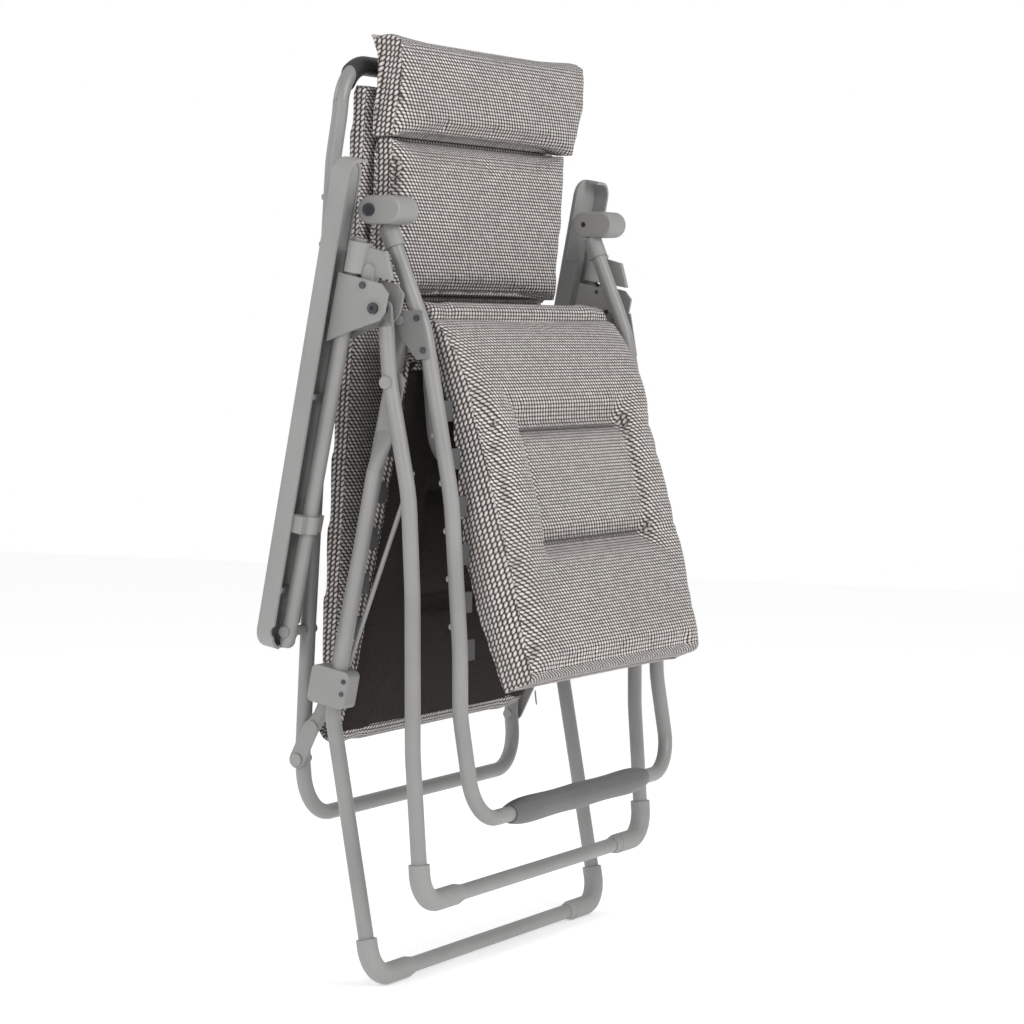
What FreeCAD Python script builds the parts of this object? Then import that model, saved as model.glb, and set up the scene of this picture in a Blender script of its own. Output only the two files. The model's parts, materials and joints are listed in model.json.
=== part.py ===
import FreeCAD, Part
import math
import os

# Folding zero gravity recliner, stored closed and standing on its rear leg bar.
# +Z up, -Y is the side the sitter faces when the chair is open, X across. Millimetres.
# The origin is on the floor below the middle of the folded chair.

Vector = FreeCAD.Vector
doc = FreeCAD.newDocument("recliner")
sheet = doc.addObject("Spreadsheet::Sheet", "Sizes")

SIZES = [
    ("tube_d", 20, "outside diameter of every frame tube"),
    ("tube_wall", 1.5, "wall of the frame tube"),
    ("leg_x", 312, "middle of the chair to the leg tube"),
    ("layer_gap", 12, "free space between the leg layer and the seat layer"),
    ("rail_offset", 13, "rail centre outboard of the leg centre"),
    ("run_clear", 0.5, "side clearance between parts that swing past each other"),
    ("pin_clear", 0.05, "radial clearance of a turning pin in its hole"),
    ("pivot_d", 8, "diameter of pivot pins and bolts"),
    ("apex_y", -3, "leg hinge"),
    ("apex_z", 766, "leg hinge"),
    ("elbow_y", 25, "elbow bolt at the front end of the armrest"),
    ("elbow_z", 981, "elbow bolt at the front end of the armrest"),
    ("bracket_y", 4, "bracket bolt at the top of the front leg"),
    ("bracket_z", 858, "bracket bolt at the top of the front leg"),
    ("knee_y", -5, "knee pin between seat tube and legrest"),
    ("knee_z", 844, "knee pin between seat tube and legrest"),
    ("slider_y", 97, "seat pivot on the leg slider"),
    ("slider_z", 385, "seat pivot on the leg slider"),
    ("hip_y", 148, "hip pin between seat strap and back frame"),
    ("hip_z", 281.4, "hip pin between seat strap and back frame"),
    ("rail_end_y", 139, "pin between armrest rail and back frame"),
    ("rail_end_z", 449.5, "pin between armrest rail and back frame"),
    ("rod_y", -25, "upper end of the brace rod on the front leg"),
    ("rod_z", 652, "upper end of the brace rod on the front leg"),
    ("rod_low_y", 72, "lower end of the brace rod at the slider"),
    ("rod_low_z", 400, "lower end of the brace rod at the slider"),
    ("rod_d", 6, "brace rod diameter"),
    ("leg_bend_y", 82.7, "bend of the rear leg below the slider"),
    ("leg_bend_z", 346.1, "bend of the rear leg below the slider"),
    ("boot_wall", 3.5, "wall of the plastic feet"),
    ("boot_run", 46, "length of a foot along the floor bar"),
    ("rear_bar_y", 25, "rear leg floor bar"),
    ("front_bar_y", -47, "front leg floor bar"),
    ("front_bar_z", 113.5, "front leg floor bar above the rear one when folded"),
    ("legrest_bar_y", -106, "foot bar of the legrest"),
    ("legrest_bar_z", 216, "foot bar of the legrest"),
    ("back_bar_z", 206, "lower bar of the back frame"),
    ("back_top_z", 1168, "top bar of the back frame"),
    ("corner_r", 55, "bend of the bars into the sides"),
    ("foot_corner_r", 38, "bend of the floor bars into the legs"),
    ("arm_len", 628, "armrest length"),
    ("arm_w", 62, "armrest width"),
    ("arm_t", 27, "armrest thickness"),
    ("arm_skin", 7, "thickness of the armrest top"),
    ("arm_rim", 4, "thickness of the armrest side walls"),
    ("elbow_r", 18, "rounding of the elbow knuckle"),
    ("elbow_len", 26, "distance between the two rounded ends of the elbow"),
    ("cheek_t", 4, "bracket cheek thickness"),
    ("slider_len", 48, "slider length along the rear leg"),
    ("pad_gap", 18, "gap between a pad edge and its frame tube"),
    ("back_pad_t", 30, "back pad thickness"),
    ("seat_pad_t", 34, "seat pad thickness"),
    ("legrest_pad_t", 36, "legrest pad thickness"),
    ("head_t", 42, "head cushion thickness"),
    ("head_h", 128, "head cushion height"),
    ("lumbar_h", 206, "lumbar cushion height"),
    ("stud_pitch", 60, "spacing of the cover studs and clips"),
]

for row, (alias, value, note) in enumerate(SIZES, 1):
    sheet.set("A%d" % row, alias)
    sheet.set("B%d" % row, str(value))
    sheet.set("C%d" % row, note)
    sheet.setAlias("B%d" % row, alias)
doc.recompute()


def size(alias):
    return float(getattr(sheet, alias))


# ---------- driving values ----------
TUBE_R = size("tube_d") / 2
WALL = size("tube_wall")
CLEAR = size("run_clear")
PIN_R = size("pivot_d") / 2
HOLE_R = PIN_R + size("pin_clear")
LEG_X = size("leg_x")
SEAT_X = LEG_X - 2 * TUBE_R - size("layer_gap")
RAIL_X = LEG_X + size("rail_offset")
SEAT_OUT = SEAT_X + TUBE_R
LEG_IN = LEG_X - TUBE_R
CHEEK_T = size("cheek_t")
CHEEK_IN = LEG_IN - 1 - CHEEK_T
CHEEK_OUT = RAIL_X + TUBE_R + CLEAR
PAD_X = SEAT_X - TUBE_R - size("pad_gap")


def side_point(y, z):
    return Vector(0, y, z)


def pivot(name):
    return side_point(size(name + "_y"), size(name + "_z"))


APEX = pivot("apex")
ELBOW = pivot("elbow")
BRACKET = pivot("bracket")
KNEE = pivot("knee")
SLIDER = pivot("slider")
HIP = pivot("hip")
RAIL_END = pivot("rail_end")
ROD = pivot("rod")
ROD_LOW = pivot("rod_low")
LEG_BEND = pivot("leg_bend")


def unit(v):
    out = Vector(v)
    out.normalize()
    return out


RAIL_DIR = unit(RAIL_END - ELBOW)
RAIL_BACK = Vector(0, -RAIL_DIR.z, RAIL_DIR.y)
LEG_DIR = unit(APEX - LEG_BEND)
LEG_BACK = Vector(0, LEG_DIR.z, -LEG_DIR.y)


def on_rail(along, back):
    """Side point measured down the rail from the elbow bolt, and back from the rail."""
    return ELBOW + RAIL_DIR * along + RAIL_BACK * back


def at_x(point, x):
    return Vector(x, point.y, point.z)


# ---------- shape helpers ----------
def rounded_wire(points, radii):
    """Straight runs through the points with a tangent arc of the given radius at each corner."""
    edges = []
    start = points[0]
    for i, radius in enumerate(radii, 1):
        corner = points[i]
        back = unit(points[i - 1] - corner)
        ahead = unit(points[i + 1] - corner)
        half = (math.pi - back.getAngle(ahead)) / 2
        if half < 0.002:
            continue
        cut = radius * math.tan(half)
        enter = corner + back * cut
        leave = corner + ahead * cut
        middle = corner + unit(back + ahead) * (radius / math.cos(half) - radius)
        if (enter - start).Length > 0.01:
            edges.append(Part.makeLine(start, enter))
        edges.append(Part.Arc(enter, middle, leave).toShape())
        start = leave
    edges.append(Part.makeLine(start, points[-1]))
    return Part.Wire(edges)


def swept(wire, radius):
    edge = wire.OrderedEdges[0]
    first = wire.OrderedVertexes[0].Point
    param = edge.FirstParameter
    if (edge.valueAt(param) - first).Length > 0.01:
        param = edge.LastParameter
    profile = Part.Wire(Part.makeCircle(radius, first, edge.tangentAt(param)))
    return wire.makePipeShell([profile], True, False)


def rod_x(point, radius, x0, x1):
    return Part.makeCylinder(radius, x1 - x0, at_x(point, x0), Vector(1, 0, 0))


def plate(points, x0, x1):
    """Flat plate with its outline in the side plane, from x0 to x1."""
    ring = [at_x(p, x0) for p in points]
    face = Part.Face(Part.makePolygon(ring + [ring[0]]))
    return face.extrude(Vector(x1 - x0, 0, 0))


def round_plate(a, b, radius, x0, x1):
    """Plate with round ends about the side points a and b."""
    along = unit(b - a)
    side = Vector(0, -along.z, along.y) * radius
    edges = [
        Part.makeLine(a + side, b + side),
        Part.Arc(b + side, b + along * radius, b - side).toShape(),
        Part.makeLine(b - side, a - side),
        Part.Arc(a - side, a - along * radius, a + side).toShape(),
    ]
    face = Part.Face(Part.Wire(edges))
    face.translate(Vector(x0, 0, 0))
    return face.extrude(Vector(x1 - x0, 0, 0))


def flat_end(tube_end, target, tube_x, tab_x, thick, radius, run=2.2 * TUBE_R):
    """Squashed end of a tube: a blend from round to flat, then a tab about the target point."""
    along = unit(target - tube_end)
    wide = Vector(0, -along.z, along.y)
    start = at_x(tube_end - along * 0.4, tube_x)
    stop = at_x(tube_end + along * run, tab_x)
    across = Vector(1, 0, 0)
    ring = Part.Ellipse(start + wide * (TUBE_R * 0.97), start + across * (TUBE_R * 0.965), start)
    flat = Part.Ellipse(stop + wide * radius * 1.05, stop + across * (thick / 2), stop)
    blend = Part.makeLoft([Part.Wire(ring.toShape()), Part.Wire(flat.toShape())], True)
    tab = round_plate(tube_end + along * (run - 2), target, radius, tab_x - thick / 2,
                      tab_x + thick / 2)
    return blend.fuse(tab)


def fused(shapes):
    out = shapes[0]
    for other in shapes[1:]:
        out = out.fuse(other)
    return out.removeSplitter()


def mirrored(shape):
    return shape.mirror(Vector(0, 0, 0), Vector(1, 0, 0))


def both(shape):
    return Part.makeCompound([shape, mirrored(shape)])


def feature(name, shape):
    part = doc.addObject("Part::Feature", name)
    part.Label = name
    part.Shape = shape
    part.Placement = FreeCAD.Placement()
    return part


def left_right(name, shape):
    """The sitter faces -Y, so +X is the left hand."""
    feature(name + "_left", shape)
    feature(name + "_right", mirrored(shape))


def pin_group(name, where, pieces):
    """Stepped pins on both sides, bound to the sheet: (diameter, inner x, outer x) in formulas."""
    members = []
    for hand, sign in (("left", 1), ("right", -1)):
        steps = []
        for i, (diameter, x0, x1) in enumerate(pieces):
            step = doc.addObject("Part::Cylinder", "%s_%s_step%d" % (name, hand, i))
            step.setExpression("Radius", "(%s) / 2" % diameter)
            step.setExpression("Height", "(%s) - (%s)" % (x1, x0))
            near = "%s" % x0 if sign > 0 else "-(%s)" % x1
            step.setExpression("Placement.Base.x", near)
            step.setExpression("Placement.Base.y", "Sizes.%s_y" % where)
            step.setExpression("Placement.Base.z", "Sizes.%s_z" % where)
            step.Placement.Rotation = FreeCAD.Rotation(Vector(0, 1, 0), 90)
            steps.append(step)
        if len(steps) == 1:
            members.append(steps[0])
            continue
        joined = doc.addObject("Part::MultiFuse", "%s_%s" % (name, hand))
        joined.Shapes = steps
        joined.Refine = True
        members.append(joined)
    group = doc.addObject("Part::Compound", name)
    group.Label = name
    group.Links = members
    return group


# formulas for the side layers, used by the bound pins
F_SEAT_OUT = "Sizes.leg_x - Sizes.tube_d / 2 - Sizes.layer_gap"
F_SEAT_IN = "(%s - Sizes.tube_d)" % F_SEAT_OUT
F_LEG_IN = "Sizes.leg_x - Sizes.tube_d / 2"
F_LEG_OUT = "Sizes.leg_x + Sizes.tube_d / 2"
F_RAIL_OUT = "Sizes.leg_x + Sizes.rail_offset + Sizes.tube_d / 2"
F_RAIL_IN = "(%s - Sizes.tube_d)" % F_RAIL_OUT


# ---------- legs ----------
def bar_loop(side_points, side_radii, half, corner_radius):
    """Open U: down one side through the side points, along the bar, and up the other side."""
    left = [at_x(p, half) for p in side_points]
    right = [at_x(p, -half) for p in reversed(side_points)]
    radii = side_radii + [corner_radius, corner_radius] + side_radii[::-1]
    return rounded_wire(left + right, radii)


def hollow(wire):
    return swept(wire, TUBE_R), swept(wire, TUBE_R - WALL)


REAR_BAR = side_point(size("rear_bar_y"), TUBE_R + size("boot_wall"))
FRONT_BAR = side_point(size("front_bar_y"), size("front_bar_z"))
TAB_T = 4
REAR_TAB_X = LEG_IN - 1 - TAB_T / 2
REAR_TOP = APEX - LEG_DIR * 112


def rear_wire():
    return bar_loop([REAR_TOP, LEG_BEND, REAR_BAR], [60], LEG_X, size("foot_corner_r"))


def rear_leg_frame():
    outer, inner = hollow(rear_wire())
    end = flat_end(REAR_TOP, APEX, LEG_X, REAR_TAB_X, TAB_T, TUBE_R * 1.3, 50)
    shape = fused([outer, end, mirrored(end)]).cut(inner)
    hole = rod_x(APEX, PIN_R, REAR_TAB_X - TAB_T, REAR_TAB_X + TAB_T)
    feature("rear_leg_frame", shape.cut(hole).cut(mirrored(hole)))


FRONT_SIDE = [
    BRACKET + (APEX - BRACKET) * 0.25,
    APEX,
    side_point(-30, 625),
    side_point(-35, 500),
    side_point(-35, 300),
    FRONT_BAR,
]
FRONT_RADII = [200, 300, 400, 400]
FRONT_TAB_X = LEG_X
FRONT_TAB_T = 6


def front_wire():
    return bar_loop(FRONT_SIDE, FRONT_RADII, LEG_X, size("foot_corner_r"))


def front_leg_frame():
    outer, inner = hollow(front_wire())
    end = round_plate(FRONT_SIDE[0] + unit(APEX - BRACKET) * 6, BRACKET, TUBE_R,
                      LEG_X - FRONT_TAB_T / 2, LEG_X + FRONT_TAB_T / 2)
    cone_dir = unit(BRACKET - FRONT_SIDE[0])
    neck = Part.makeCone(TUBE_R, FRONT_TAB_T / 2, TUBE_R * 0.9, at_x(FRONT_SIDE[0], LEG_X), cone_dir)
    shape = fused([outer, end, neck, mirrored(end), mirrored(neck)])
    shape = shape.cut(inner.cut(end).cut(mirrored(end)))
    holes = [
        rod_x(BRACKET, HOLE_R, LEG_X - TUBE_R, LEG_X + TUBE_R),
        rod_x(APEX, HOLE_R, LEG_X - 2 * TUBE_R, LEG_X + 2 * TUBE_R),
        rod_x(ROD, size("rod_d") / 2 + size("pin_clear"), LEG_X - 2 * TUBE_R, LEG_X),
    ]
    for hole in holes:
        shape = shape.cut(hole).cut(mirrored(hole))
    feature("front_leg_frame", shape)


def boot(bar, above, side_dir):
    """L-shaped plastic foot round the bend between leg and floor bar, with a pointed tongue."""
    radius = size("foot_corner_r")
    reach = radius + size("boot_run")
    points = [at_x(bar, LEG_X) + side_dir * (radius + 12), at_x(bar, LEG_X), at_x(bar, LEG_X - reach)]
    path = rounded_wire(points, [radius])
    shell = swept(path, TUBE_R + size("boot_wall"))
    tongue_base = at_x(bar, LEG_X - reach + 2)
    tongue = Part.makeCone(TUBE_R + size("boot_wall"), TUBE_R + 0.8, 16, tongue_base, Vector(-1, 0, 0))
    long_points = [points[0] + side_dir * 20, points[1], points[2] - Vector(40, 0, 0)]
    tube = swept(rounded_wire(long_points, [radius]), TUBE_R)
    left_right(above, shell.fuse(tongue).cut(tube).removeSplitter())


def feet():
    boot(REAR_BAR, "rear_foot", unit(LEG_BEND - REAR_BAR))
    boot(FRONT_BAR, "front_foot", unit(FRONT_SIDE[-2] - FRONT_BAR))


# ---------- slider on the rear leg, with the seat pivot ----------
SLIDER_MID = LEG_BEND + LEG_DIR * ((SLIDER - LEG_BEND).dot(LEG_DIR))
SLIDER_IN = LEG_IN - 3.5
SLIDER_OUT = LEG_X + TUBE_R + 4
FRONT_REACH = 22
REAR_REACH = 33


def slider():
    half = size("slider_len") / 2
    corners = [
        SLIDER_MID - LEG_DIR * half - LEG_BACK * FRONT_REACH,
        SLIDER_MID - LEG_DIR * half + LEG_BACK * REAR_REACH,
        SLIDER_MID + LEG_DIR * half + LEG_BACK * REAR_REACH,
        SLIDER_MID + LEG_DIR * half - LEG_BACK * FRONT_REACH,
    ]
    block = plate(corners, SLIDER_IN, SLIDER_OUT)
    block = block.makeFillet(7, [e for e in block.Edges if abs(e.tangentAt(e.FirstParameter).x) > 0.9])
    boss = rod_x(SLIDER, PIN_R + 4, SEAT_OUT + 1.5, SLIDER_IN + 1)
    bore = Part.makeCylinder(TUBE_R + 0.2, 4 * half, at_x(SLIDER_MID - LEG_DIR * 2 * half, LEG_X), LEG_DIR)
    pivot_hole = rod_x(SLIDER, HOLE_R, SEAT_OUT, SLIDER_OUT - 3)
    shape = block.fuse(boss).cut(bore).cut(pivot_hole)
    for spot in screw_spots():
        shape = shape.cut(rod_x(spot, 1.5, SLIDER_OUT - 8, SLIDER_OUT + 1))
    left_right("slider", shape.removeSplitter())


def screw_spots():
    front = SLIDER_MID - LEG_BACK * (FRONT_REACH - 6)
    return [front + LEG_DIR * 12, front - LEG_DIR * 4]


def slider_screws():
    solids = []
    for spot in screw_spots():
        head = rod_x(spot, 3, SLIDER_OUT, SLIDER_OUT + 1.6)
        solids.append(head.fuse(rod_x(spot, 1.5, SLIDER_OUT - 8, SLIDER_OUT)).removeSplitter())
    feature("slider_screws", both(Part.makeCompound(solids)))


# ---------- brace rods ----------
ROD_R = size("rod_d") / 2
ROD_X = (SEAT_OUT + LEG_IN - 2) / 2 - 0.5


def brace_rod():
    along = unit(ROD_LOW - ROD)
    length = (ROD_LOW - ROD).Length
    bar = Part.makeCylinder(ROD_R, length, at_x(ROD, ROD_X), along)
    hook = rod_x(ROD, ROD_R, ROD_X, LEG_X - 2)
    knuckle = Part.makeSphere(ROD_R, at_x(ROD, ROD_X))
    eye = rod_x(ROD_LOW, ROD_R + 3, ROD_X - 2, ROD_X + 2)
    left_right("brace_rod", fused([bar, hook, knuckle, eye]))


# ---------- bracket that carries the rail ----------
def bracket():
    inner = [(84, 4), (84, -50), (94, -62), (118, -62), (130, -56), (150, -20), (166, 4)]
    outer = [(82, 13), (84, -50), (94, -62), (118, -62), (130, -56), (150, -20), (170, 13)]
    parts = [
        plate([on_rail(a, b) for a, b in inner], CHEEK_IN, CHEEK_IN + CHEEK_T),
        plate([on_rail(a, b) for a, b in outer], CHEEK_OUT, CHEEK_OUT + CHEEK_T),
        plate([on_rail(a, b) for a, b in [(100, -14.5), (100, -31), (136, -31), (150, -14.5)]],
              CHEEK_IN + 1, CHEEK_OUT + 1),
    ]
    shape = fused(parts)
    holes = [
        rod_x(BRACKET, HOLE_R, CHEEK_IN - 1, CHEEK_OUT + CHEEK_T + 1),
        rod_x(LEVER_PIN, 3, CHEEK_IN - 1, CHEEK_OUT + CHEEK_T + 1),
    ]
    for hole in holes:
        shape = shape.cut(hole)
    left_right("bracket", shape)


LEVER_PIN = on_rail(91, -25)
BOLT_HEAD_R = 7


def bracket_bolts():
    bolt = fused([
        rod_x(BRACKET, PIN_R, CHEEK_IN + 0.2, CHEEK_OUT + CHEEK_T + 0.3),
        rod_x(BRACKET, BOLT_HEAD_R, CHEEK_OUT + CHEEK_T + 0.3, CHEEK_OUT + CHEEK_T + 4),
        rod_x(BRACKET, BOLT_HEAD_R - 0.5, CHEEK_IN + CHEEK_T + 0.3, LEG_X - FRONT_TAB_T / 2 - 0.3),
        rod_x(BRACKET, BOLT_HEAD_R - 0.5, LEG_X + FRONT_TAB_T / 2 + 0.3, CHEEK_OUT - 0.3),
    ])
    socket = rod_x(BRACKET, 2.6, CHEEK_OUT + CHEEK_T + 1.6, CHEEK_OUT + CHEEK_T + 5)
    feature("bracket_bolts", both(bolt.cut(socket)))


def lever_pins():
    pin = fused([
        rod_x(LEVER_PIN, 3, CHEEK_IN + 0.5, CHEEK_OUT + CHEEK_T),
        rod_x(LEVER_PIN, 4.5, CHEEK_OUT + CHEEK_T, CHEEK_OUT + CHEEK_T + 2),
    ])
    feature("lever_pins", both(pin))


LEVER_BORE = TUBE_R + 4
LEVER_TOP = 40
LEVER_LOW = 79


def lock_lever():
    """Half barrel round the front of the rail, a fin to pull, and a tongue on the lever pin."""
    start = at_x(on_rail(LEVER_TOP, 0), RAIL_X)
    run = LEVER_LOW - LEVER_TOP
    barrel = Part.makeCylinder(LEVER_BORE + 3.5, run, start, RAIL_DIR)
    fin = plate([on_rail(44, -12), on_rail(46, -42), on_rail(78, -58), on_rail(79, -12)],
                RAIL_X - 4, RAIL_X + 4)
    tongue = round_plate(on_rail(72, -25), LEVER_PIN, 8, RAIL_X - 7, RAIL_X + 7)
    shape = fused([barrel, fin, tongue])
    bore = Part.makeCylinder(LEVER_BORE, 3 * run, at_x(on_rail(LEVER_TOP - run, 0), RAIL_X), RAIL_DIR)
    back = plate([on_rail(20, 4), on_rail(20, 40), on_rail(120, 40), on_rail(120, 4)],
                 RAIL_X - 30, RAIL_X + 30)
    slot = plate([on_rail(20, 0), on_rail(20, 40), on_rail(120, 40), on_rail(120, 0)],
                 RAIL_X - LEVER_BORE, RAIL_X + LEVER_BORE)
    pin_hole = rod_x(LEVER_PIN, 3 + size("pin_clear"), RAIL_X - 20, RAIL_X + 20)
    shape = shape.cut(bore).cut(back).cut(slot).cut(pin_hole)
    left_right("lock_lever", shape.removeSplitter())


# ---------- rails and armrests ----------
RAIL_TOP = 36
RAIL_LEN = (RAIL_END - ELBOW).Length + 12


def rail():
    outer = Part.makeCylinder(TUBE_R, RAIL_LEN - RAIL_TOP, at_x(on_rail(RAIL_TOP, 0), RAIL_X), RAIL_DIR)
    inner = Part.makeCylinder(TUBE_R - WALL, RAIL_LEN - RAIL_TOP, at_x(on_rail(RAIL_TOP, 0), RAIL_X),
                              RAIL_DIR)
    plug = Part.makeSphere(TUBE_R, at_x(on_rail(RAIL_LEN, 0), RAIL_X))
    hole = rod_x(RAIL_END, HOLE_R, RAIL_X - 2 * TUBE_R, RAIL_X + 2 * TUBE_R)
    left_right("rail", fused([outer.cut(inner), plug]).cut(hole))


ARM_TOP = -60
ARM_BACK_TOP = 28
ARM_BACK_LOW = 18
ARM_X = RAIL_X


def arm_frame():
    """Placement from a flat armrest (length on X, width on Y, top face up) to its place."""
    top = on_rail(ARM_TOP, ARM_BACK_TOP)
    low = on_rail(ARM_TOP + size("arm_len"), ARM_BACK_LOW)
    along = unit(low - top)
    outward = Vector(0, -along.z, along.y)
    turn = FreeCAD.Rotation(along, Vector(1, 0, 0), outward, "XZY")
    return FreeCAD.Placement(at_x(top, ARM_X), turn)


def flat_block(length, width, low, high, radius, start=0.0):
    block = Part.makeBox(length, width, high - low, Vector(start, -width / 2, low))
    uprights = [e for e in block.Edges if abs(e.tangentAt(e.FirstParameter).z) > 0.9]
    return block.makeFillet(radius, uprights)


def armrest():
    length = size("arm_len")
    width = size("arm_w")
    half = size("arm_t") / 2
    rim = size("arm_rim")
    body = flat_block(length, width, -half, half, width * 0.38)
    top_edges = [e for e in body.Edges if all(abs(v.Z - half) < 0.01 for v in e.Vertexes)]
    body = body.makeFillet(7, top_edges)
    pocket = flat_block(length - 2 * rim, width - 2 * rim, -half - 5, half - size("arm_skin"),
                        width * 0.38 - rim, rim)
    body = body.cut(pocket)
    notch_w = width / 2 - (RAIL_X - (ELBOW_OUT + CLEAR)) + 6
    notch = Part.makeBox(118, notch_w, size("arm_t"), Vector(0, width / 2 + 6 - notch_w, -half - 8))
    body = body.cut(notch)
    rib_spots = (300, length - 78)
    for spot in rib_spots:
        rib = Part.makeBox(7, width - 2 * rim + 1, half - 1.5, Vector(spot, -width / 2 + rim - 0.5, -4))
        body = body.fuse(rib)
    for spot in (18, 24):
        slot = flat_block(3, 22, half - 1.2, half + 1, 1.4, spot)
        body = body.cut(slot)
    body.Placement = arm_frame()
    tube = Part.makeCylinder(TUBE_R, RAIL_LEN, at_x(on_rail(RAIL_TOP, 0), RAIL_X), RAIL_DIR)
    ball = Part.makeSphere(TUBE_R + 1, at_x(on_rail(RAIL_LEN, 0), RAIL_X))
    clear_pin = rod_x(RAIL_END, BOLT_HEAD_R + 2, RAIL_X - 40, RAIL_X + 40)
    shape = body.cut(tube).cut(ball).cut(clear_pin).removeSplitter()
    left_right("armrest", shape)


def armrest_clip():
    """Collar that ties the rail to the underside of the armrest."""
    spot = 392
    ring = Part.makeCylinder(TUBE_R + 3.5, 22, at_x(on_rail(spot, 0), RAIL_X), RAIL_DIR)
    arm = plate([on_rail(spot, -6), on_rail(spot, 12), on_rail(spot + 22, 12), on_rail(spot + 22, -6)],
                RAIL_X - size("arm_w") / 2 + 6, RAIL_X + size("arm_w") / 2 - 6)
    tube = Part.makeCylinder(TUBE_R, 60, at_x(on_rail(spot - 20, 0), RAIL_X), RAIL_DIR)
    left_right("armrest_clip", ring.fuse(arm).cut(tube).removeSplitter())


# ---------- legrest ----------
ELBOW_OUT = RAIL_X - TUBE_R - CLEAR
ELBOW_IN = SEAT_X - TUBE_R - 4
ELBOW_FRONT = ELBOW - Vector(0, size("elbow_len"), 0)
LEGREST_SIDE = [
    ELBOW + side_point(-7, -20),
    side_point(-35, 830),
    side_point(-73, 620),
    side_point(-85, 430),
    side_point(-85, 350),
    side_point(size("legrest_bar_y"), size("legrest_bar_z")),
]
LEGREST_RADII = [160, 400, 400, 200]


def legrest_wire():
    return bar_loop(LEGREST_SIDE, LEGREST_RADII, SEAT_X, size("corner_r"))


def legrest_frame():
    outer, inner = hollow(legrest_wire())
    feature("legrest_frame", outer.cut(inner))


def elbow():
    knuckle = round_plate(ELBOW, ELBOW_FRONT, size("elbow_r"), ELBOW_IN, ELBOW_OUT)
    ends = [e for e in knuckle.Edges if abs(e.tangentAt(e.FirstParameter).x) < 0.1]
    knuckle = knuckle.makeFillet(3, ends)
    down = unit(LEGREST_SIDE[1] - LEGREST_SIDE[0])
    top = at_x(LEGREST_SIDE[0], SEAT_X)
    sleeve = Part.makeCylinder(TUBE_R + 3, 28, top, down)
    socket = Part.makeCylinder(TUBE_R, 60, top, down)
    hole = rod_x(ELBOW, PIN_R, ELBOW_IN - 1, ELBOW_OUT + 1)
    left_right("elbow", knuckle.fuse(sleeve).cut(socket).cut(hole).removeSplitter())


def elbow_bolts():
    bolt = fused([
        rod_x(ELBOW, PIN_R, ELBOW_IN + 2, ELBOW_OUT),
        rod_x(ELBOW, BOLT_HEAD_R + 1, ELBOW_OUT, ELBOW_OUT + 3.5),
    ])
    socket = rod_x(ELBOW, 3, ELBOW_OUT + 1.5, ELBOW_OUT + 5)
    solid = bolt.cut(socket)
    top = at_x(LEGREST_SIDE[0], SEAT_X)
    tube = Part.makeCylinder(TUBE_R, 60, top, unit(LEGREST_SIDE[1] - LEGREST_SIDE[0]))
    feature("elbow_bolts", both(solid.cut(tube)))


KNEE_PLATE_T = 3.5


def knee_plate():
    """Steel plate from the legrest tube back to the knee pin, with a flange under the pad."""
    front = side_point(-29, 850)
    low = side_point(-41, 800)
    web = plate([front + side_point(-8, 6), KNEE + side_point(4, 12), KNEE + side_point(12, 2),
                 KNEE + side_point(6, -12), low + side_point(10, -6), low + side_point(-6, -4)],
                SEAT_OUT, SEAT_OUT + KNEE_PLATE_T)
    hole = rod_x(KNEE, HOLE_R, SEAT_OUT - 1, SEAT_OUT + 10)
    spots = [rod_x(p, 2.5, SEAT_OUT - 4, SEAT_OUT + 10) for p in knee_screw_spots()]
    shape = web.cut(hole)
    for spot in spots:
        shape = shape.cut(spot)
    left_right("knee_plate", shape)


def knee_screw_spots():
    return [side_point(-31, 846), side_point(-40, 806)]


def knee_screws():
    solids = []
    for spot in knee_screw_spots():
        shank = rod_x(spot, 2.5, SEAT_OUT - 1.5, SEAT_OUT + KNEE_PLATE_T)
        head = rod_x(spot, 4, SEAT_OUT + KNEE_PLATE_T, SEAT_OUT + KNEE_PLATE_T + 1.8)
        solids.append(shank.fuse(head).cut(swept(legrest_wire(), TUBE_R)).removeSplitter())
    feature("knee_plate_screws", both(Part.makeCompound(solids)))


HANGER_R = 7
HANGER_X = SEAT_X - TUBE_R - HANGER_R - 1


def hanger_bar():
    """Dark U-shaped bar below the knee that carries the cover between seat and legrest."""
    points = [side_point(-27, 832), side_point(-30, 760), side_point(-39, 662)]
    left = [at_x(p, HANGER_X) for p in points]
    right = [at_x(p, -HANGER_X) for p in reversed(points)]
    path = rounded_wire(left + right, [120, 45, 45, 120])
    feature("knee_hanger_bar", swept(path, HANGER_R))


def foot_sleeve():
    bar = side_point(size("legrest_bar_y"), size("legrest_bar_z"))
    half = SEAT_X - size("corner_r") - 35
    stations = [(-1.0, 2.5), (-0.93, 5), (-0.5, 6.5), (0, 7), (0.5, 6.5), (0.93, 5), (1.0, 2.5)]
    rings = []
    for share, wall in stations:
        circle = Part.makeCircle(TUBE_R + wall, at_x(bar, share * half), Vector(1, 0, 0))
        rings.append(Part.Wire(circle))
    body = Part.makeLoft(rings, True)
    tube = rod_x(bar, TUBE_R, -half - 20, half + 20)
    feature("foot_sleeve", body.cut(tube))


def studs_on(points, x, outward, side_wire):
    """Round snap studs standing on a tube at the given side points."""
    tube = swept(side_wire, TUBE_R)
    solids = []
    for point in points:
        base = at_x(point, x)
        stud = Part.makeCylinder(4, TUBE_R + 2.2, base, outward)
        stud = stud.fuse(Part.makeSphere(2.6, base + outward * (TUBE_R + 1.6)))
        solids.append(stud.removeSplitter().cut(tube))
    return solids


def spread(start, end, pitch):
    run = (end - start).Length
    count = int(run / pitch)
    step = unit(end - start)
    return [start + step * (pitch * i) for i in range(count + 1)]


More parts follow.
